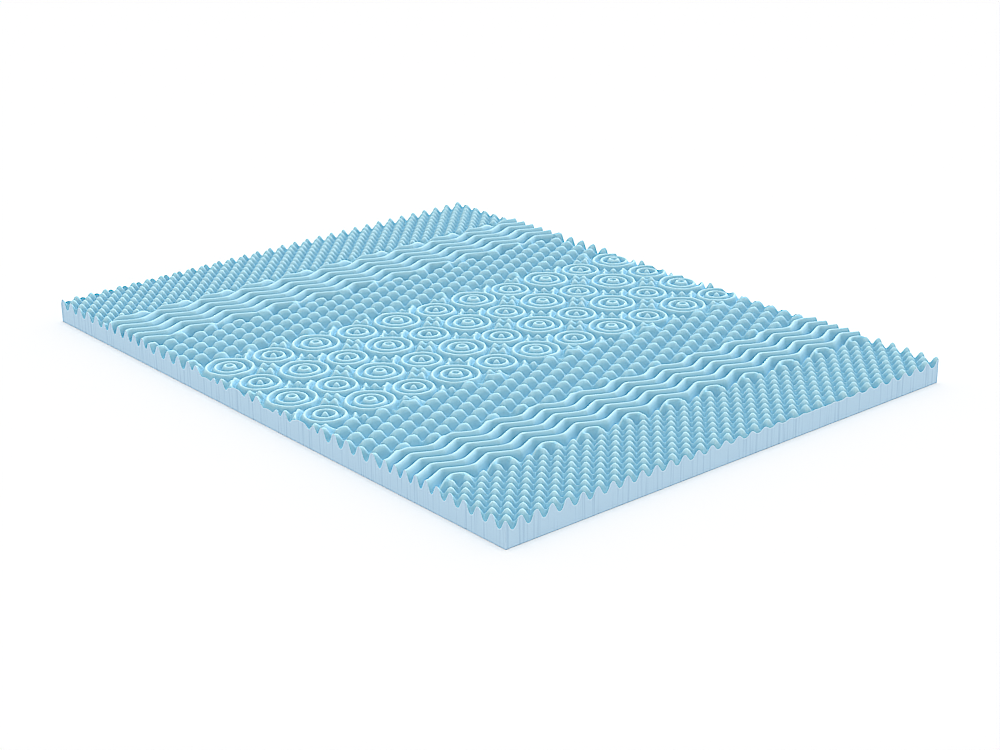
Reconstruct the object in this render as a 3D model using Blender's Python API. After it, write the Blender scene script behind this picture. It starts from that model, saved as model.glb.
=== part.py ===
"""Mattress topper: one queen-size slab of foam with a profile-cut top in seven bands.

The real slab is cut on a profiling machine. Patterned rolls press the foam while a straight
knife splits it, so what was pressed comes out low and what was spared comes out high. The
pattern has only two levels; the foam spreads the pressure, which rounds every form and leaves
the finest ones shallowest. The same steps are followed here: press_pattern() lays out the two
levels, relax() spreads them, and foam_slab() turns the result into one closed body.

Frame: metres, +Z up. X runs across the bed, Y from the foot to the head. The origin is at the
centre of the flat underside.
"""
import math
from collections import namedtuple

import bmesh
import bpy
import numpy as np
from mathutils import Vector
from mathutils.bvhtree import BVHTree
from mathutils.geometry import delaunay_2d_cdt

# Driving dimensions
WIDTH = 60 * 0.0254
LENGTH = 80 * 0.0254
THICKNESS = 3 * 0.0254

# The knife and the rolls
MID_HEIGHT = 0.0600        # height of the straight cut through unpressed foam
PRESS = 0.0235             # rise or fall under a patch of pattern of endless size
SPREAD = 0.0103            # depth over which the foam spreads the pressure
EDGE_SLOPE = 6.0           # how steeply the pattern goes from one level to the other
SKEW = 0.010               # the rolls run slightly askew of the slab: rise along Y per metre of X
FREE_RISE = 0.0745         # higher tips rise ever less, so that none passes the thickness

# The pattern repeats across the bed in whole multiples of one small step, which the stretch of
# the foam draws in or out by up to a few hundredths in each band
STEP = WIDTH / 32.15
REPEAT = 3 * STEP
MARGIN = 0.080             # pattern beyond the slab, so that the cut edge sees its neighbours
BEYOND = LENGTH + 2 * MARGIN
ZIGZAG_ROUNDING = 0.97     # 1 would leave the corners of the waves sharp

# Rings: a bump or a hollow in the middle, then ridges one ring pitch apart
BUMP_RADIUS = 0.0175       # of the first groove, in rings with a bump in the middle
BUMP_FULLNESS = 1.5        # that bump is fuller than the ridges around it, which are at 1
HOLLOW_RADIUS = 0.0154     # of the first crest, in rings with a hollow in the middle
RING_PITCH = 0.0239
RING_FADE = (0.066, 0.084)  # a ring gives way to the motif between the rings
MOTIF_PITCH = 0.0405
MOTIF_LEVEL = 0.5          # share of the full pattern level that the motif reaches

# Mesh
PATTERN_CELL = 0.002       # spacing of the samples on which the pattern is laid out
EDGE_CELL = 0.001          # spacing of the samples along an edge of the slab
POINT_GAP = 0.009          # no two marked points lie closer than this
BAND_GAP = 0.004           # a form's points stay this far inside its own band
RIM_GAP = 0.005            # and this far inside the rim
WIDE_BUMP = 2 * STEP - POINT_GAP  # repeats wider than this get the finer facets
WELD = 0.00001
WAVE_POINTS = 2            # points along one repeat of a wave
RING_ROWS = 4
CIRCLE_SIDES = (6, 8, 8, 10, 12)  # of the circles of a ring, from the inner groove outwards
MOTIF_POINTS = ((0, 0), (0.5, 0), (0, 0.5), (-0.5, 0), (0, -0.5),  # in motif pitches
                (0.5, 0.5), (-0.5, 0.5), (-0.5, -0.5), (0.5, -0.5))
PROBE_CELL = 0.006         # spacing of the places where the facets are compared with the cut
REFINE_PASSES = 4
REFINE_TRIES = 4000
REFINE_GAP = 0.010
FACET_LIMIT = 11500        # triangles on the relief top

CORNERS = ((-WIDTH / 2, -LENGTH / 2), (WIDTH / 2, -LENGTH / 2),
           (WIDTH / 2, LENGTH / 2), (-WIDTH / 2, LENGTH / 2))

FOAM_COLOUR = (0.22, 0.58, 0.72, 1.0)

# Each band ends where the next starts, measured from the foot edge. across and along are the
# pitches of its repeat, first_across and first_along the place of one high point, sweep is how
# far a wave swings along the bed, spare narrows the high forms against the low ones, and level
# is the share of the full pressure that the band gets.
Band = namedtuple("Band", "end form across along first_across first_along sweep spare level")


def bumps(band, across, along):
    """Round bumps in staggered rows."""
    return (np.cos(2 * np.pi * (across - band.first_across) / band.across)
            * np.cos(2 * np.pi * (along - band.first_along) / band.along))


def zigzag(turns):
    """0 at whole turns and 1 half way between, straight with slightly rounded corners."""
    slant = np.arcsin(ZIGZAG_ROUNDING * np.cos(2 * np.pi * turns)) / math.asin(ZIGZAG_ROUNDING)
    return 0.5 - 0.5 * slant


def waves(band, across, along):
    """Ridges that zigzag across the bed."""
    swing = band.sweep * zigzag((across - band.first_across) / band.across)
    return np.cos(2 * np.pi * (along - band.first_along - swing) / band.along)


def ring_profile(radius, raised):
    """1 on the crests and -1 in the grooves, from the middle outwards. raised is 1 for a ring
    with a bump in the middle and -1 for its negative."""
    first = np.where(raised > 0, BUMP_RADIUS, HOLLOW_RADIUS)
    inner = np.pi * (radius / first) ** np.where(raised > 0, BUMP_FULLNESS, 1)
    outer = np.pi + 2 * np.pi * (radius - first) / RING_PITCH
    return raised * np.cos(np.where(radius < first, inner, outer))


def fade(value, limits):
    """1 below the first limit, 0 above the second, smooth between."""
    share = np.clip((value - limits[0]) / (limits[1] - limits[0]), 0, 1)
    return 1 - share * share * (3 - 2 * share)


def rings(band, across, along):
    """Ring targets in a square grid, each the negative of its neighbours, with a small
    chequered motif in the gap between every four."""
    column = (across - band.first_across) / band.across
    row = (along - band.first_along) / band.along
    total = np.zeros_like(across)
    weight = np.zeros_like(across)
    for step_across in (-1, 0, 1):
        for step_along in (-1, 0, 1):
            ring_column = np.round(column) + step_across
            ring_row = np.round(row) + step_along
            radius = np.hypot((column - ring_column) * band.across, (row - ring_row) * band.along)
            share = fade(radius, RING_FADE)
            total += share * ring_profile(radius, 1 - 2 * np.mod(ring_column + ring_row, 2))
            weight += share
    gap_column = np.floor(column) + 0.5
    gap_row = np.floor(row) + 0.5
    motif = (np.cos(2 * np.pi * (column - gap_column) * band.across / MOTIF_PITCH)
             * np.cos(2 * np.pi * (row - gap_row) * band.along / MOTIF_PITCH))
    motif *= 1 - 2 * np.mod(gap_column + gap_row, 2)
    gap = np.clip(1 - weight, 0, 1)
    return (total + gap * motif * MOTIF_LEVEL) / (weight + gap)


BANDS = (
    #    end    form   across           along   first_across    first_along  sweep  spare  level
    Band(0.258, bumps, 0.990 * STEP, 0.0492, -0.0020, -0.0018, 0, 0.06, 1),
    Band(0.476, waves, 0.987 * REPEAT, 0.0396, 0, 0.2842, 0.0310, 0, 1),
    Band(0.713, bumps, 1.977 * STEP, 0.0522, -0.0019, 0.4936, 0, 0.06, 0.88),
    Band(1.309, rings, 0.987 * REPEAT, 0.1472, 0.0739, 0.7921, 0, 0, 1),
    Band(1.538, bumps, 1.999 * STEP, 0.0522, 0.0087, 1.3242, 0, 0.06, 0.88),
    Band(1.781, waves, 1.007 * REPEAT, 0.0437, 0.0864, 1.5390, 0.0315, 0, 1),
    Band(BEYOND, bumps, 1.012 * STEP, 0.0492, -0.0024, 2.0192, 0, 0.06, 1),
)


def press_pattern(across, along):
    """The two levels of the rolls, 1 where the foam is spared and -1 where it is pressed."""
    levels = np.zeros_like(across)
    start = -math.inf
    for band in BANDS:
        inside = (along >= start) & (along < band.end)
        form = band.form(band, across[inside], along[inside])
        levels[inside] = band.level * np.clip(EDGE_SLOPE * (form - band.spare), -1, 1)
        start = band.end
    return levels


def relax(levels, cell):
    """Spread the pattern as foam spreads pressure: the shorter the wave, the more it fades."""
    turn_y = 2 * np.pi * np.fft.fftfreq(levels.shape[0], cell)
    turn_x = 2 * np.pi * np.fft.rfftfreq(levels.shape[1], cell)
    depth = SPREAD * np.hypot(turn_y[:, None], turn_x[None, :])
    passed = (1 + depth) * np.exp(-depth)
    return np.fft.irfft2(np.fft.rfft2(levels) * passed, s=levels.shape)


def cut_samples():
    """Heights of the cut over the slab and its margin, in rows and columns of pattern cells."""
    xs = np.arange(0, WIDTH + 2 * MARGIN, PATTERN_CELL) - MARGIN
    ys = np.arange(0, LENGTH + 2 * MARGIN, PATTERN_CELL) - MARGIN
    across, from_foot = np.meshgrid(xs, ys)
    height = MID_HEIGHT + PRESS * relax(press_pattern(across, from_foot + SKEW * across), PATTERN_CELL)
    room = THICKNESS - FREE_RISE
    return np.where(height > FREE_RISE, FREE_RISE + room * np.tanh((height - FREE_RISE) / room), height)


def cut_heights(x, y):
    """Height of the cut surface over each point, in the slab's own frame."""
    column = (x + WIDTH / 2 + MARGIN) / PATTERN_CELL
    row = (y + LENGTH / 2 + MARGIN) / PATTERN_CELL
    left = column.astype(int)
    below = row.astype(int)
    right_share = column - left
    upper_share = row - below
    lower = SAMPLES[below, left] * (1 - right_share) + SAMPLES[below, left + 1] * right_share
    upper = SAMPLES[below + 1, left] * (1 - right_share) + SAMPLES[below + 1, left + 1] * right_share
    return lower * (1 - upper_share) + upper * upper_share


class Plan:
    """The points of the cut surface seen from above, and the creases that join them."""

    def __init__(self):
        self.points = []
        self.creases = []

    def add(self, x, y, gap):
        """Add a point well inside the rim unless another lies closer than gap; its number."""
        if abs(x) > WIDTH / 2 - RIM_GAP or abs(y) > LENGTH / 2 - RIM_GAP:
            return None
        placed = np.array(self.points)
        if np.hypot(placed[:, 0] - x, placed[:, 1] - y).min() < gap:
            return None
        self.points.append((x, y))
        return len(self.points) - 1

    def add_chain(self, points, closed=False):
        """Add points in a row, with a crease between each two neighbours that are both kept."""
        numbers = [None if point is None else self.add(*point, POINT_GAP) for point in points]
        if closed:
            numbers.append(numbers[0])
        for first, second in zip(numbers, numbers[1:]):
            if first is not None and second is not None:
                self.creases.append((first, second))

    def facets(self):
        """Points and triangles of the surface, each point at its height on the cut."""
        flat, _, triangles, *_ = delaunay_2d_cdt(
            [Vector(point) for point in self.points], self.creases, [], 0, WELD)
        heights = cut_heights(np.array([point.x for point in flat]),
                              np.array([point.y for point in flat]))
        return [(point.x, point.y, height) for point, height in zip(flat, heights)], triangles


def in_slab(across, along):
    """From pattern coordinates to the slab's own frame."""
    return across - WIDTH / 2, along - SKEW * across - LENGTH / 2


def edge_points(start, end):
    """One edge of the slab as seen from above: its start, and where the cut turns up or down."""
    steps = round(math.dist(start, end) / EDGE_CELL)
    x = np.linspace(start[0], end[0], steps + 1)
    y = np.linspace(start[1], end[1], steps + 1)
    slopes = np.sign(np.diff(cut_heights(x, y)))
    turns = np.nonzero(np.diff(slopes))[0] + 1
    clear = round(POINT_GAP / EDGE_CELL)
    inner = [turn for turn in turns if clear < turn < steps - clear]
    return [start] + [(x[turn], y[turn]) for turn in inner]


def mark_rim(plan):
    """The rim of the slab, all the way round."""
    for side in range(4):
        plan.points += edge_points(CORNERS[side], CORNERS[(side + 1) % 4])
    count = len(plan.points)
    plan.creases += [(number, (number + 1) % count) for number in range(count)]


def mark_bumps(plan, band, start):
    """High and low points of staggered bumps. Wide bumps also get the level points between
    them; on narrow ones creases join the low points, so that every bump stands free."""
    wide = band.across > WIDE_BUMP
    first_row = math.ceil((start + BAND_GAP - band.first_along) / (band.along / 2))
    last_row = math.floor((band.end - BAND_GAP - band.first_along) / (band.along / 2))
    placed = {}
    for column in range(math.ceil(2 * WIDTH / band.across) + 1):
        for row in range(first_row, last_row + 1):
            across = band.first_across + column * band.across / 2
            along = band.first_along + row * band.along / 2
            placed[column, row] = plan.add(*in_slab(across, along), POINT_GAP)
            if wide and row < last_row:
                plan.add(*in_slab(across + band.across / 4, along + band.along / 4), POINT_GAP)
    for (column, row), number in placed.items():
        if wide or number is None or (column + row) % 2 == 0:
            continue
        for step in (-1, 1):
            neighbour = placed.get((column + 1, row + step))
            if neighbour is not None:
                plan.creases.append((number, neighbour))


def mark_waves(plan, band, start):
    """Crest lines and groove lines of the waves."""
    columns = math.ceil(WIDTH / (band.across / WAVE_POINTS)) + WAVE_POINTS
    first_line = math.ceil((start - band.sweep - band.first_along) / (band.along / 2))
    last_line = math.floor((band.end - band.first_along) / (band.along / 2))
    for line in range(first_line, last_line + 1):
        chain = []
        for column in range(-WAVE_POINTS, columns):
            across = band.first_across + column * band.across / WAVE_POINTS
            swing = band.sweep * float(zigzag(column / WAVE_POINTS))
            along = band.first_along + line * band.along / 2 + swing
            inside = start + BAND_GAP < along < band.end - BAND_GAP
            chain.append(in_slab(across, along) if inside else None)
        plan.add_chain(chain)


def mark_rings(plan, band, start):
    """Crest and groove circles of each ring, its middle, and the motif between the rings."""
    for column in range(-1, math.ceil(WIDTH / band.across) + 1):
        for row in range(RING_ROWS):
            across = band.first_across + column * band.across
            along = band.first_along + row * band.along
            plan.add(*in_slab(across, along), POINT_GAP)
            first = HOLLOW_RADIUS if (column + row) % 2 else BUMP_RADIUS
            for circle, sides in enumerate(CIRCLE_SIDES):
                radius = first + circle * RING_PITCH / 2
                turns = [2 * math.pi * side / sides for side in range(sides)]
                plan.add_chain([in_slab(across + radius * math.cos(turn), along + radius * math.sin(turn))
                                for turn in turns], closed=True)
    for column in range(-1, math.ceil(WIDTH / band.across) + 1):
        for row in range(-1, RING_ROWS):
            across = band.first_across + (column + 0.5) * band.across
            along = band.first_along + (row + 0.5) * band.along
            for shift_x, shift_y in MOTIF_POINTS:
                if start < along + shift_y * MOTIF_PITCH < band.end:
                    plan.add(*in_slab(across + shift_x * MOTIF_PITCH,
                                      along + shift_y * MOTIF_PITCH), POINT_GAP)


def refine(plan):
    """Add points where the facets stray furthest from the cut surface, the worst first."""
    xs = np.arange(-WIDTH / 2 + PROBE_CELL / 2, WIDTH / 2, PROBE_CELL)
    ys = np.arange(-LENGTH / 2 + PROBE_CELL / 2, LENGTH / 2, PROBE_CELL)
    probe_x, probe_y = (grid.ravel() for grid in np.meshgrid(xs, ys))
    wanted = cut_heights(probe_x, probe_y)
    for _ in range(REFINE_PASSES):
        surface = BVHTree.FromPolygons(*plan.facets())
        found = [surface.ray_cast((x, y, 1), (0, 0, -1))[0] for x, y in zip(probe_x, probe_y)]
        error = np.array([abs(hit.z - height) if hit else 0 for hit, height in zip(found, wanted)])
        room = (FACET_LIMIT // 2 - len(plan.points)) // 2
        for probe in np.argsort(-error)[:REFINE_TRIES]:
            if room <= 0:
                break
            if plan.add(probe_x[probe], probe_y[probe], REFINE_GAP) is not None:
                room -= 1


def slab_body():
    """The closed body: the relief top, four straight-cut walls and the flat underside."""
    plan = Plan()
    mark_rim(plan)
    rim = list(range(len(plan.points)))
    start = 0
    for band in BANDS:
        MARKS[band.form](plan, band, start)
        start = band.end
    refine(plan)
    points, triangles = plan.facets()
    body = bmesh.new()
    top = [body.verts.new(point) for point in points]
    for triangle in triangles:
        body.faces.new([top[number] for number in triangle])
    feet = [body.verts.new((x, y, 0)) for x, y in CORNERS]
    body.faces.new(reversed(feet))
    turning = [number for number in rim if plan.points[number] in CORNERS] + [len(rim)]
    for side in range(4):
        wall = [top[number % len(rim)] for number in range(turning[side], turning[side + 1] + 1)]
        body.faces.new([feet[side], feet[(side + 1) % 4]] + wall[::-1])
    bmesh.ops.recalc_face_normals(body, faces=body.faces)
    return body


def foam_material():
    """Matt open-cell foam."""
    material = bpy.data.materials.new("foam")
    material.use_nodes = True
    shader = material.node_tree.nodes["Principled BSDF"]
    shader.inputs["Base Color"].default_value = FOAM_COLOUR
    shader.inputs["Roughness"].default_value = 0.9
    shader.inputs["Metallic"].default_value = 0.0
    return material


def foam_slab():
    """The whole topper: one solid slab."""
    body = slab_body()
    mesh = bpy.data.meshes.new("foam_slab")
    body.to_mesh(mesh)
    body.free()
    mesh.materials.append(foam_material())
    slab = bpy.data.objects.new("foam_slab", mesh)
    bpy.context.collection.objects.link(slab)
    return slab


MARKS = {bumps: mark_bumps, waves: mark_waves, rings: mark_rings}
SAMPLES = cut_samples()

for old in list(bpy.data.objects):
    bpy.data.objects.remove(old)
foam_slab()
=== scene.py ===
# %% [markdown]
# # A profile-cut foam topper
#
# The object is one slab of soft blue foam, as wide and as long as a queen mattress. A machine
# has cut its top into seven bands: small peaks, zigzag waves, round bumps, a field of rings,
# and then bumps, waves and peaks again. Nothing is sewn or glued on.
#
# The imported solid is loaded first, and its size is printed.

# %% Load the imported solid
import math
from collections import namedtuple

import bpy
import numpy as np
from mathutils import Matrix, Vector


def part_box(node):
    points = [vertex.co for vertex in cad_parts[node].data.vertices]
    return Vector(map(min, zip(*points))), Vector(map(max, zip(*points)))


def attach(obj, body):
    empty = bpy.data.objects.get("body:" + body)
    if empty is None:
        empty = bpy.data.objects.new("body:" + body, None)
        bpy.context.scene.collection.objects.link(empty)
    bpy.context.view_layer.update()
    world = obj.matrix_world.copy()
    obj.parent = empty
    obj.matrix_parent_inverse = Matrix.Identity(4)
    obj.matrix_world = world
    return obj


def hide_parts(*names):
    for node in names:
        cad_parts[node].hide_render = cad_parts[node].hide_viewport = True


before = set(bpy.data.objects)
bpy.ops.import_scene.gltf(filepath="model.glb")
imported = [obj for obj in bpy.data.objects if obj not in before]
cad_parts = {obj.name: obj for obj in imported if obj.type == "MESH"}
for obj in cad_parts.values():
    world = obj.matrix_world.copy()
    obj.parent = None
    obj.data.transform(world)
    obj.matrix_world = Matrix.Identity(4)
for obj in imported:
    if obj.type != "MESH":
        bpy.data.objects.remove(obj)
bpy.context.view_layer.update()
low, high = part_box("foam_slab")
print("solid slab, mm:", [round(side * 1000, 1) for side in high - low])

# %% [markdown]
# ## Sizes
#
# A queen topper is 60 by 80 inches, and this one is 3 inches thick to its highest tips. The
# pattern repeats across the bed in whole multiples of one small step, which is how the rolls
# of the machine are laid out. The soft foam stretches a little as it goes through, so the step
# comes out wider at the head of the bed than at the foot.

# %% Sizes of the slab and of its pattern
INCH = 0.0254
WIDTH = 60 * INCH
LENGTH = 80 * INCH
THICKNESS = 3 * INCH

MID_HEIGHT = 0.0600        # height of a straight cut through foam that nothing presses
PRESS = 0.0235             # rise or fall under a patch of pattern of endless size
SPREAD = 0.0103            # depth over which foam spreads the pressure
EDGE_SLOPE = 6.0           # how steeply the pattern goes from one level to the other
SKEW = 0.010               # the rolls run slightly askew of the slab
FREE_RISE = 0.0745         # higher tips rise ever less, so that none passes the thickness

STEP = WIDTH / 32.15
REPEAT = 3 * STEP
MARGIN = 0.080             # pattern beyond the slab, so that the cut edge sees its neighbours
BEYOND = LENGTH + 2 * MARGIN
ZIGZAG_ROUNDING = 0.97     # 1 would leave the corners of the waves sharp
BUMP_RADIUS = 0.0175       # of the first groove, in rings with a bump in the middle
BUMP_FULLNESS = 1.5        # that bump is fuller than the ridges around it, which are at 1
HOLLOW_RADIUS = 0.0154     # of the first crest, in rings with a hollow in the middle
RING_PITCH = 0.0239
RING_FADE = (0.066, 0.084)  # a ring gives way to the motif between the rings
MOTIF_PITCH = 0.0405
MOTIF_LEVEL = 0.5
print("one step of the pattern, mm:", round(STEP * 1000, 2))

# %% [markdown]
# ## How the real top is cut
#
# Two patterned rolls squeeze the foam while a straight knife splits it. Where a roll presses,
# the foam springs back lower than the knife went, and where the roll spares it the foam stays
# high. So the pattern has only two levels, and the foam does the rounding. Modelling that
# process gives the soft bumps, and also the odd forms where one band meets the next, which
# are hard to draw by hand.
#
# Each band is a formula that is positive on high forms and negative on low ones.

# %% The forms in the bands
Band = namedtuple("Band", "end form across along first_across first_along sweep spare level")


def bumps(band, across, along):
    """Round bumps in staggered rows."""
    return (np.cos(2 * np.pi * (across - band.first_across) / band.across)
            * np.cos(2 * np.pi * (along - band.first_along) / band.along))


def zigzag(turns):
    """0 at whole turns and 1 half way between, straight with slightly rounded corners."""
    slant = np.arcsin(ZIGZAG_ROUNDING * np.cos(2 * np.pi * turns)) / math.asin(ZIGZAG_ROUNDING)
    return 0.5 - 0.5 * slant


def waves(band, across, along):
    """Ridges that zigzag across the bed."""
    swing = band.sweep * zigzag((across - band.first_across) / band.across)
    return np.cos(2 * np.pi * (along - band.first_along - swing) / band.along)


# %% [markdown]
# The rings stand in a square grid, and each one is the negative of its neighbours: one has a
# bump in the middle and the next a hollow. Between every four rings lies a small chequered
# motif.

# %% The rings
def ring_profile(radius, raised):
    """1 on the crests and -1 in the grooves, from the middle outwards. raised is 1 for a ring
    with a bump in the middle and -1 for its negative."""
    first = np.where(raised > 0, BUMP_RADIUS, HOLLOW_RADIUS)
    inner = np.pi * (radius / first) ** np.where(raised > 0, BUMP_FULLNESS, 1)
    outer = np.pi + 2 * np.pi * (radius - first) / RING_PITCH
    return raised * np.cos(np.where(radius < first, inner, outer))


def fade(value, limits):
    """1 below the first limit, 0 above the second, smooth between."""
    share = np.clip((value - limits[0]) / (limits[1] - limits[0]), 0, 1)
    return 1 - share * share * (3 - 2 * share)


def gap_motif(band, column, row):
    """A small chequered patch around the middle of the gap between four rings."""
    gap_column = np.floor(column) + 0.5
    gap_row = np.floor(row) + 0.5
    motif = (np.cos(2 * np.pi * (column - gap_column) * band.across / MOTIF_PITCH)
             * np.cos(2 * np.pi * (row - gap_row) * band.along / MOTIF_PITCH))
    return motif * MOTIF_LEVEL * (1 - 2 * np.mod(gap_column + gap_row, 2))


def rings(band, across, along):
    """Ring targets, each the negative of its neighbours, with the motif in the gaps."""
    column = (across - band.first_across) / band.across
    row = (along - band.first_along) / band.along
    total = np.zeros_like(across)
    weight = np.zeros_like(across)
    for step_across in (-1, 0, 1):
        for step_along in (-1, 0, 1):
            ring_column = np.round(column) + step_across
            ring_row = np.round(row) + step_along
            radius = np.hypot((column - ring_column) * band.across, (row - ring_row) * band.along)
            share = fade(radius, RING_FADE)
            total += share * ring_profile(radius, 1 - 2 * np.mod(ring_column + ring_row, 2))
            weight += share
    gap = np.clip(1 - weight, 0, 1)
    return (total + gap * gap_motif(band, column, row)) / (weight + gap)


# %% [markdown]
# Seven rows say where each band ends, measured from the foot of the bed, which form it has,
# the pitches of its repeat, where one high point lies, how far a wave swings, how much
# narrower the high forms are than the low ones, and what share of the full pressure it gets.

# %% The seven bands
BANDS = (
    #    end    form   across           along   first_across    first_along  sweep  spare  level
    Band(0.258, bumps, 0.990 * STEP, 0.0492, -0.0020, -0.0018, 0, 0.06, 1),
    Band(0.476, waves, 0.987 * REPEAT, 0.0396, 0, 0.2842, 0.0310, 0, 1),
    Band(0.713, bumps, 1.977 * STEP, 0.0522, -0.0019, 0.4936, 0, 0.06, 0.88),
    Band(1.309, rings, 0.987 * REPEAT, 0.1472, 0.0739, 0.7921, 0, 0, 1),
    Band(1.538, bumps, 1.999 * STEP, 0.0522, 0.0087, 1.3242, 0, 0.06, 0.88),
    Band(1.781, waves, 1.007 * REPEAT, 0.0437, 0.0864, 1.5390, 0.0315, 0, 1),
    Band(BEYOND, bumps, 1.012 * STEP, 0.0492, -0.0024, 2.0192, 0, 0.06, 1),
)


def press_pattern(across, along):
    """The two levels of the rolls, 1 where the foam is spared and -1 where it is pressed."""
    levels = np.zeros_like(across)
    start = -math.inf
    for band in BANDS:
        inside = (along >= start) & (along < band.end)
        form = band.form(band, across[inside], along[inside])
        levels[inside] = band.level * np.clip(EDGE_SLOPE * (form - band.spare), -1, 1)
        start = band.end
    return levels


for band in BANDS:
    print(f"up to {band.end:.3f} m: {band.form.__name__}, {band.along * 1000:.1f} mm apart")

# %% [markdown]
# ## The foam spreads the pressure
#
# Foam spreads a load sideways as the load goes down, so a narrow press mark fades more than a
# wide one. The neat way to say this is with waves: the pattern is taken apart into waves of
# every length, each is weakened by the share that the foam takes from it, and the surface is
# put together again. The same sum gives the slope and the bend of the surface, for the
# normals and for the colour.

# %% Work out the cut surface
CELL = 0.001               # spacing of the samples of the cut


def lay_out_samples():
    """Pattern levels over the slab and its margin, as waves, and the turn of each wave."""
    xs = np.arange(0, WIDTH + 2 * MARGIN, CELL) - MARGIN
    ys = np.arange(0, LENGTH + 2 * MARGIN, CELL) - MARGIN
    across, from_foot = np.meshgrid(xs, ys)
    levels = press_pattern(across, from_foot + SKEW * across)
    turn_y = 2 * np.pi * np.fft.fftfreq(len(ys), CELL)[:, None]
    turn_x = 2 * np.pi * np.fft.rfftfreq(len(xs), CELL)[None, :]
    return np.fft.rfft2(levels), turn_x, turn_y, levels.shape


spectrum, turn_x, turn_y, shape = lay_out_samples()
depth = SPREAD * np.hypot(turn_x, turn_y)
spectrum *= PRESS * (1 + depth) * np.exp(-depth)
height = MID_HEIGHT + np.fft.irfft2(spectrum, s=shape)
room = THICKNESS - FREE_RISE
limited = FREE_RISE + room * np.tanh((height - FREE_RISE) / room)
height = np.where(height > FREE_RISE, limited, height)
slope_y, slope_x = np.gradient(height, CELL)
bend = np.gradient(slope_x, CELL, axis=1) + np.gradient(slope_y, CELL, axis=0)
print("cut from", round(height.min() * 1000, 1), "to", round(height.max() * 1000, 1), "mm")


# %% [markdown]
# The samples lie on a regular grid. A point of the mesh can lie anywhere, so its value is
# blended from the four samples around it.

# %% Look a value up
def look_up(samples, x, y):
    """The value over each point, in the slab's own frame, blended from four samples."""
    column = np.clip((x + WIDTH / 2 + MARGIN) / CELL, 0, samples.shape[1] - 2)
    row = np.clip((y + LENGTH / 2 + MARGIN) / CELL, 0, samples.shape[0] - 2)
    left = column.astype(int)
    below = row.astype(int)
    right_share = column - left
    upper_share = row - below
    lower = samples[below, left] * (1 - right_share) + samples[below, left + 1] * right_share
    above = below + 1
    upper = samples[above, left] * (1 - right_share) + samples[above, left + 1] * right_share
    return lower * (1 - upper_share) + upper * upper_share


middle = np.zeros(1)
height_over_middle = look_up(height, middle, middle)[0]
print("height over the middle, mm:", round(1000 * float(height_over_middle), 1))

# %% [markdown]
# ## The slab
#
# The top starts as a grid primitive, the size of the bed. Its points are moved up to the cut
# in code, because a relief this regular is easier to work out than to sculpt. Cloth
# simulation has no place here: cut foam keeps the shape that the knife gave it.

# %% Add the grid and raise its points
GRID_CELL = 0.0027


def get_points(mesh):
    """The points of a mesh, one row each."""
    points = np.empty(3 * len(mesh.vertices))
    mesh.vertices.foreach_get("co", points)
    return points.reshape(-1, 3)


def set_points(mesh, points):
    """Move the points of a mesh."""
    mesh.vertices.foreach_set("co", points.ravel())
    mesh.update()


bpy.ops.object.select_all(action="DESELECT")
bpy.ops.mesh.primitive_grid_add(x_subdivisions=round(WIDTH / GRID_CELL),
                                y_subdivisions=round(LENGTH / GRID_CELL), size=1)
slab = bpy.context.active_object
slab.name = slab.data.name = "profiled_foam"
slab.scale = (WIDTH, LENGTH, 1)
bpy.ops.object.transform_apply(location=False, rotation=False, scale=True)
points = get_points(slab.data)
points[:, 2] = look_up(height, points[:, 0], points[:, 1])
set_points(slab.data, points)
print("grid points:", len(points))

# %% [markdown]
# A fine grid spends as many faces on the plain slopes as on the tight crests. The Decimate
# modifier takes points away where the surface is nearly flat and keeps them where it bends,
# so far fewer faces give the same shape. Afterwards every point is set back on the cut, and
# the points on the rim back on the straight sides.

# %% Thin the faces out
TOP_FACES = 186000

if len(slab.data.polygons) * 2 > TOP_FACES:
    thinning = slab.modifiers.new("thinning", "DECIMATE")
    thinning.ratio = TOP_FACES / (2 * len(slab.data.polygons))
    bpy.ops.object.modifier_apply(modifier="thinning")

bpy.ops.object.mode_set(mode="EDIT")
bpy.ops.mesh.select_mode(type="EDGE")
bpy.ops.mesh.select_all(action="DESELECT")
bpy.ops.mesh.select_non_manifold(extend=False)
bpy.ops.object.mode_set(mode="OBJECT")
on_rim = np.empty(len(slab.data.vertices), bool)
slab.data.vertices.foreach_get("select", on_rim)

points = get_points(slab.data)
to_side = WIDTH / 2 - np.abs(points[:, 0])
to_end = LENGTH / 2 - np.abs(points[:, 1])
side_rim = on_rim & (to_side < GRID_CELL / 2)
end_rim = on_rim & (to_end < GRID_CELL / 2)
points[side_rim, 0] = np.sign(points[side_rim, 0]) * WIDTH / 2
points[end_rim, 1] = np.sign(points[end_rim, 1]) * LENGTH / 2
points[:, 2] = look_up(height, points[:, 0], points[:, 1])
set_points(slab.data, points)
print("faces on the top:", len(slab.data.polygons), "points on the rim:", on_rim.sum())

# %% [markdown]
# ## The sides and the underside
#
# The sides are cut straight down with a blade. The rim is still selected, so it is extruded:
# once by a few millimetres, once down to just above the floor, and once more inwards, because
# soft foam rounds a little where it rests. The last loop is filled to close the body.

# %% Extrude the sides and close the body
RIM_DEPTH = 0.003
FOOT_ROUND = 0.0015

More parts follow.
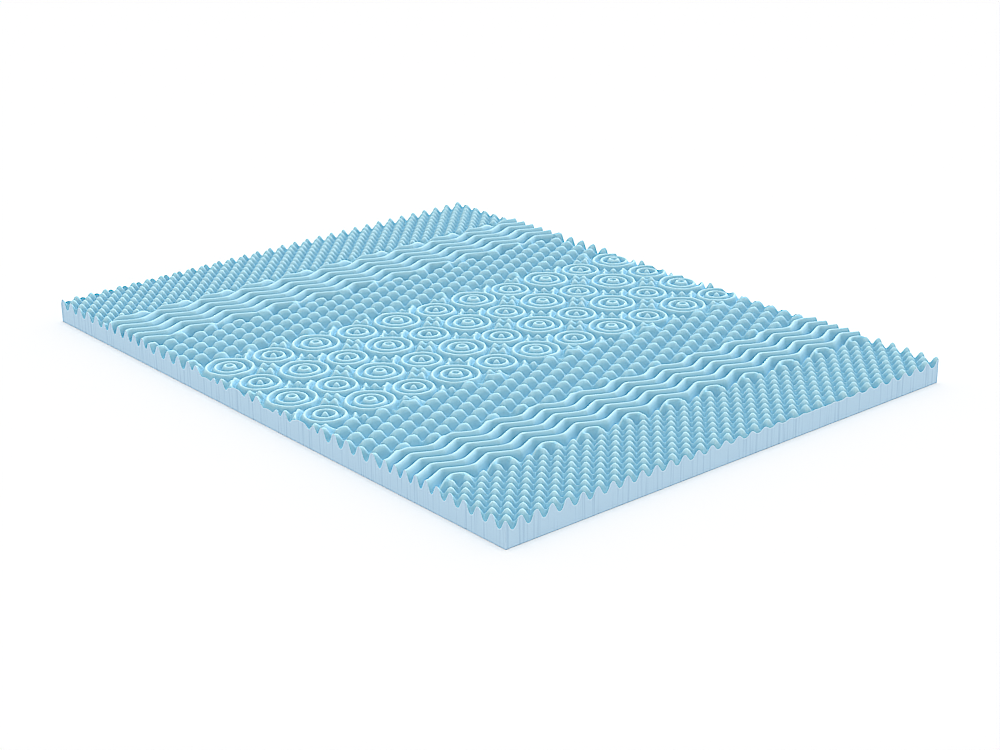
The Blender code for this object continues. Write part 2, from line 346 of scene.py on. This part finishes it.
bpy.ops.object.mode_set(mode="EDIT")
bpy.ops.mesh.extrude_edges_move(TRANSFORM_OT_translate={"value": (0, 0, -RIM_DEPTH)})
bpy.ops.mesh.extrude_edges_move(TRANSFORM_OT_translate={"value": (0, 0, 0)})
bpy.ops.transform.resize(value=(1, 1, 0), center_override=(0, 0, FOOT_ROUND))
bpy.ops.mesh.extrude_edges_move(TRANSFORM_OT_translate={"value": (0, 0, -FOOT_ROUND)})
bpy.ops.transform.resize(value=(1 - 2 * FOOT_ROUND / WIDTH, 1 - 2 * FOOT_ROUND / LENGTH, 1),
                         center_override=(0, 0, 0))
bpy.ops.mesh.fill(use_beauty=True)
bpy.ops.mesh.select_all(action="SELECT")
bpy.ops.mesh.normals_make_consistent(inside=False)
bpy.ops.mesh.select_all(action="DESELECT")
bpy.ops.mesh.select_non_manifold(extend=False)
bpy.ops.object.mode_set(mode="OBJECT")
open_edges = sum(edge.select for edge in slab.data.edges)
triangles = sum(len(face.vertices) - 2 for face in slab.data.polygons)
print("open edges:", open_edges, "triangles:", triangles)

# %% [markdown]
# ## Smooth shading with exact normals
#
# The shape of the cut is known exactly, so its normals are too. They are written on the
# corners of the top faces, which hides the facets completely. The sides and the underside
# keep the normals of their flat faces, so the rim stays crisp.

# %% Write the normals
slab.data.shade_smooth()
points = get_points(slab.data)
face_normals = np.empty(3 * len(slab.data.polygons))
slab.data.polygons.foreach_get("normal", face_normals)
face_normals = face_normals.reshape(-1, 3)
corner_counts = np.empty(len(slab.data.polygons), int)
slab.data.polygons.foreach_get("loop_total", corner_counts)
corner_points = np.empty(len(slab.data.loops), int)
slab.data.loops.foreach_get("vertex_index", corner_points)

UPWARD = 0.1               # a face that points up less belongs to a side or the underside
is_top = face_normals[:, 2] > UPWARD
cut_normals = np.stack([-look_up(slope_x, points[:, 0], points[:, 1]),
                        -look_up(slope_y, points[:, 0], points[:, 1]),
                        np.ones(len(points))], axis=1)
cut_normals /= np.linalg.norm(cut_normals, axis=1)[:, None]
normals = np.repeat(face_normals, corner_counts, axis=0)
on_top = np.repeat(is_top, corner_counts)
normals[on_top] = cut_normals[corner_points[on_top]]
slab.data.normals_split_custom_set(normals.tolist())
print("top faces:", is_top.sum(), "other faces:", (~is_top).sum())

# %% [markdown]
# ## Marks for the painted highlights and shade
#
# The foam isn't one flat blue, because light and shade are painted into its colour. Along a
# crest a thin pale line is a painted highlight, for light that comes through the cells there,
# and the grooves get painted shade, a deeper blue. Two values on each point say where: how
# sharply the cut bends there, and how far below the rim the point lies, which places the
# painted pale line along the rim.

# %% Write the values on the points
BEND_SCALE = 420.0         # bend of a sharp crest, in 1/m


def write_value(mesh, name, values):
    """Keep one number for each point of the mesh."""
    attribute = mesh.attributes.new(name, "FLOAT", "POINT")
    attribute.data.foreach_set("value", values.astype(np.float32))


# crest sets the painted highlight on the crests and the painted shade in the grooves; below_rim
# places the painted highlight along the rim of the sides.
crest = -look_up(bend, points[:, 0], points[:, 1]) / BEND_SCALE
below_rim = look_up(height, points[:, 0], points[:, 1]) - points[:, 2]
write_value(slab.data, "crest", np.clip(crest, -1, 1))
write_value(slab.data, "below_rim", np.maximum(below_rim, 0))
print("crest value from", round(crest.min(), 2), "to", round(crest.max(), 2))

# %% [markdown]
# ## The foam's finish
#
# Foam is matt, with a soft sheen where it is seen at a glancing angle, because the cut cells
# stand up like a very short nap. The cells themselves are about a millimetre wide. They are
# far too small to model, so a fine noise tilts the light instead.

# %% Helpers for the materials
FOAM_ROUGHNESS = 0.95
FOAM_SPECULAR = 0.15       # cut foam has next to no gloss
SHEEN_TINT = (0.85, 0.96, 1.0, 1)
CELL_SCALE = 900.0         # cells of the foam per metre, roughly
CELL_DETAIL = 2.0
CELL_DEPTH = 0.0004
CELL_STRENGTH = 0.5


def set_inputs(node, inputs):
    """Give inputs of a node their values, by name."""
    for name, value in inputs.items():
        node.inputs[name].default_value = value


def add_node(tree, kind, inputs=None, **settings):
    """A shader node with its settings and the values of its inputs."""
    node = tree.nodes.new(kind)
    for name, value in settings.items():
        setattr(node, name, value)
    set_inputs(node, inputs or {})
    return node


def add_ramp(tree, first, last, *between):
    """A colour ramp. Each of its stops is a position and a colour."""
    ramp = add_node(tree, "ShaderNodeValToRGB")
    stops = ramp.color_ramp.elements
    stops[0].position, stops[0].color = first
    stops[1].position, stops[1].color = last
    for position, colour in between:
        stops.new(position).color = colour
    return ramp


def new_foam(name, sheen, sheen_roughness):
    """A matt foam material with fine open cells."""
    material = bpy.data.materials.new(name)
    material.use_nodes = True
    tree = material.node_tree
    shader = tree.nodes["Principled BSDF"]
    set_inputs(shader, {"Roughness": FOAM_ROUGHNESS, "Specular IOR Level": FOAM_SPECULAR,
                        "Sheen Weight": sheen, "Sheen Roughness": sheen_roughness,
                        "Sheen Tint": SHEEN_TINT})
    place = add_node(tree, "ShaderNodeTexCoord")
    cells = add_node(tree, "ShaderNodeTexNoise", {"Scale": CELL_SCALE, "Detail": CELL_DETAIL})
    relief = add_node(tree, "ShaderNodeBump",
                      {"Strength": CELL_STRENGTH, "Distance": CELL_DEPTH})
    tree.links.new(place.outputs["Object"], cells.inputs["Vector"])
    tree.links.new(cells.outputs["Fac"], relief.inputs["Height"])
    tree.links.new(relief.outputs["Normal"], shader.inputs["Normal"])
    return material, tree, shader, place


# %% [markdown]
# The top's colour follows the crest value through a colour ramp: painted shade, a deep blue,
# in the grooves, sky blue on the slopes and a painted highlight, paler, along the crests. A
# slow noise keeps it from looking printed. The cut cells of the top make its sheen strong and
# narrow: every ridge has a thin bright line where it turns out of sight.

# %% The profiled top
# Painted shade in the grooves, the foam's own blue on the slopes, and a painted highlight on the
# crests.
GROOVE_SHADE_BLUE = (0.23, 0.48, 0.62, 1)
SLOPE_BLUE = (0.275, 0.52, 0.63, 1)
CREST_HIGHLIGHT_BLUE = (0.42, 0.66, 0.74, 1)
GROOVE_STOP = 0.15         # stops of the ramp, from 0 in the sharpest groove to 1 on a crest
SLOPE_STOP = 0.62
CREST_STOP = 1.0
MOTTLE_SCALE = 14.0
MOTTLE_SHARE = 0.08

foam_top, tree, shader, place = new_foam("foam_profiled", sheen=1.0, sheen_roughness=0.17)
# The crest value picks the painted shade for the grooves and the painted highlight for the
# crests.
bend_for_painted_light = add_node(tree, "ShaderNodeAttribute", attribute_name="crest")
ramp = add_ramp(tree, (GROOVE_STOP, GROOVE_SHADE_BLUE), (CREST_STOP, CREST_HIGHLIGHT_BLUE),
                (SLOPE_STOP, SLOPE_BLUE))
spread = add_node(tree, "ShaderNodeMapRange", {"From Min": -1.0})
mottle = add_node(tree, "ShaderNodeTexNoise", {"Scale": MOTTLE_SCALE})
tint = add_node(tree, "ShaderNodeMix", data_type="RGBA", blend_type="MULTIPLY")
tint.inputs["Factor"].default_value = MOTTLE_SHARE
tree.links.new(bend_for_painted_light.outputs["Fac"], spread.inputs["Value"])
tree.links.new(spread.outputs["Result"], ramp.inputs["Fac"])
tree.links.new(place.outputs["Object"], mottle.inputs["Vector"])
tree.links.new(ramp.outputs["Color"], tint.inputs["A"])
tree.links.new(mottle.outputs["Fac"], tint.inputs["B"])
tree.links.new(tint.outputs["Result"], shader.inputs["Base Color"])
print("top material:", len(tree.nodes), "nodes")

# %% [markdown]
# The sides are paler than the top, because a straight blade leaves short, open cells. The
# blade also leaves faint upright marks. They come from a noise that is squeezed across the
# side and stretched up it. A pale line along the rim is a painted highlight, where the edge
# catches the light.

# %% The sawn sides
SAWN_BLUE = (0.50, 0.69, 0.84, 1)
MARK_BLUE = (0.42, 0.61, 0.77, 1)
# A painted highlight: a pale band along the rim of the sides.
RIM_HIGHLIGHT_BLUE = (0.62, 0.80, 0.90, 1)
MARKS_ALONG = 110          # blade marks per metre along a side, roughly
MARKS_UP = 4
MARK_DETAIL = 3.0
MARK_STOP = 0.30           # where the noise is below this, a mark is at its darkest
SAWN_STOP = 0.48

foam_side, tree, shader, place = new_foam("foam_sawn", sheen=0.15, sheen_roughness=0.5)
stretch = add_node(tree, "ShaderNodeMapping", {"Scale": (MARKS_ALONG, MARKS_ALONG, MARKS_UP)})
marks = add_node(tree, "ShaderNodeTexNoise", {"Scale": 1.0, "Detail": MARK_DETAIL})
mark_ramp = add_ramp(tree, (MARK_STOP, MARK_BLUE), (SAWN_STOP, SAWN_BLUE))
# The painted rim highlight is strongest at the rim and fades out within RIM_DEPTH below it.
depth_value = add_node(tree, "ShaderNodeAttribute", attribute_name="below_rim")
rim_highlight_mask = add_node(tree, "ShaderNodeMapRange",
                    {"From Max": RIM_DEPTH, "To Min": 1.0, "To Max": 0.0},
                    interpolation_type="SMOOTHSTEP")
rim_highlight_mix = add_node(tree, "ShaderNodeMix", data_type="RGBA")
rim_highlight_mix.inputs["B"].default_value = RIM_HIGHLIGHT_BLUE
tree.links.new(place.outputs["Object"], stretch.inputs["Vector"])
tree.links.new(stretch.outputs["Vector"], marks.inputs["Vector"])
tree.links.new(marks.outputs["Fac"], mark_ramp.inputs["Fac"])
tree.links.new(depth_value.outputs["Fac"], rim_highlight_mask.inputs["Value"])
tree.links.new(rim_highlight_mask.outputs["Result"], rim_highlight_mix.inputs["Factor"])
tree.links.new(mark_ramp.outputs["Color"], rim_highlight_mix.inputs["A"])
tree.links.new(rim_highlight_mix.outputs["Result"], shader.inputs["Base Color"])
print("side material:", len(tree.nodes), "nodes")

# %% [markdown]
# The faces of the cut get the first finish, and the sides and the underside the second.

# %% Put the finishes on the slab
slab.data.materials.append(foam_top)
slab.data.materials.append(foam_side)
slab.data.polygons.foreach_set("material_index", np.where(is_top, 0, 1))
slab.data.update()
print("finishes:", [material.name for material in slab.data.materials])

# %% [markdown]
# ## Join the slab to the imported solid
#
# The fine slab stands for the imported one, which stays in the physics model for contact.

# %% Say what the slab is
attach(slab, "root")
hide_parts("foam_slab")
print("piece:", slab.name, "rides on root")

# %% [markdown]
# ## The studio
#
# The topper lies on a white floor that runs out of sight.

# %% The floor
FLOOR_SIZE = 60.0
FLOOR_WHITE = (0.9, 0.9, 0.9, 1)

bpy.ops.object.select_all(action="DESELECT")
bpy.ops.mesh.primitive_plane_add(size=FLOOR_SIZE, location=(0, 0, 0))
floor = bpy.context.active_object
floor.name = "studio_floor"
floor_paint = bpy.data.materials.new("white_floor")
floor_paint.use_nodes = True
set_inputs(floor_paint.node_tree.nodes["Principled BSDF"],
           {"Base Color": FLOOR_WHITE, "Roughness": 1.0})
floor.data.materials.append(floor_paint)
print("floor, m:", FLOOR_SIZE, "square")

# %% [markdown]
# The light is a bright, even sky of white card and one broad lamp straight above. Two smaller
# lamps light the slab alone, so that the floor stays plain: one behind it brightens the
# crests, and a low one on the right catches the slopes that turn that way, with a touch of
# lilac.

# %% The light
SKY_STRENGTH = 0.8
LILAC = (1.0, 0.88, 1.0)

world = bpy.data.worlds.new("studio_sky")
world.use_nodes = True
set_inputs(world.node_tree.nodes["Background"],
           {"Color": (1, 1, 1, 1), "Strength": SKY_STRENGTH})
bpy.context.scene.world = world


def add_sun(name, towards, strength, softness, colour=(1, 1, 1), lights=None):
    """A distant lamp. towards points from the slab to the lamp, softness is how wide the lamp
    looks in degrees, and lights is the collection that it lights, or None for everything."""
    lamp = bpy.data.lights.new(name, "SUN")
    lamp.energy = strength
    lamp.angle = math.radians(softness)
    lamp.color = colour
    stand = bpy.data.objects.new(name, lamp)
    stand.rotation_euler = Vector(towards).to_track_quat("Z", "Y").to_euler()
    stand.light_linking.receiver_collection = lights
    bpy.context.collection.objects.link(stand)


slab_only = bpy.data.collections.new("slab_only")
slab_only.objects.link(slab)
add_sun("top_lamp", towards=(0, 0, 1), strength=1.0, softness=40)
add_sun("back_lamp", towards=(0.64, 0.77, 1.2), strength=1.2, softness=20, lights=slab_only)
add_sun("right_lamp", towards=(1, 0.2, 0.35), strength=2.2, softness=22, colour=LILAC,
        lights=slab_only)
print("lamps:", [lamp.name for lamp in bpy.data.lights])

# %% [markdown]
# ## The camera
#
# The camera stands about five and a half metres away, off the near corner, and looks down on
# the slab at 21 degrees. It leans by less than a degree. Its three axes are worked out from
# those angles.

# %% Place the camera
CAMERA_PLACE = Vector((-3.2735, -4.0036, 1.9361))
CAMERA_LENS = 70.19
SENSOR = 36.0
HEADING = math.radians(50.065)   # from +X towards +Y
PITCH = math.radians(21.247)     # downwards
LEAN = math.radians(-0.7075)

ahead = Vector((math.cos(PITCH) * math.cos(HEADING),
                math.cos(PITCH) * math.sin(HEADING),
                -math.sin(PITCH)))
level = Vector((math.sin(HEADING), -math.cos(HEADING), 0))
upright = level.cross(ahead)
right = math.cos(LEAN) * level + math.sin(LEAN) * upright
up = -math.sin(LEAN) * level + math.cos(LEAN) * upright

camera = bpy.data.cameras.new("camera")
camera.lens = CAMERA_LENS
camera.sensor_width = SENSOR
viewer = bpy.data.objects.new("camera", camera)
turn = Matrix((right, up, -ahead)).transposed().to_4x4()
viewer.matrix_world = Matrix.Translation(CAMERA_PLACE) @ turn
bpy.context.collection.objects.link(viewer)
bpy.context.scene.camera = viewer
bpy.context.scene.view_settings.view_transform = "Standard"
print("camera to the middle, m:", round(CAMERA_PLACE.length, 2))

# %% [markdown]
# Pictures of goods for sale are usually sharpened a little before they are printed, which
# gives every crest a crisp line. A Filter node in the compositor does the same here.

# %% Sharpen the picture
SHARPENING = 0.15

bpy.context.scene.use_nodes = True
compositor = bpy.context.scene.node_tree
compositor.nodes.clear()
picture = compositor.nodes.new("CompositorNodeRLayers")
sharpen = compositor.nodes.new("CompositorNodeFilter")
sharpen.filter_type = "SHARPEN"
sharpen.inputs["Fac"].default_value = SHARPENING
result = compositor.nodes.new("CompositorNodeComposite")
compositor.links.new(picture.outputs["Image"], sharpen.inputs["Image"])
compositor.links.new(sharpen.outputs["Image"], result.inputs["Image"])
print("compositor:", [node.name for node in compositor.nodes])
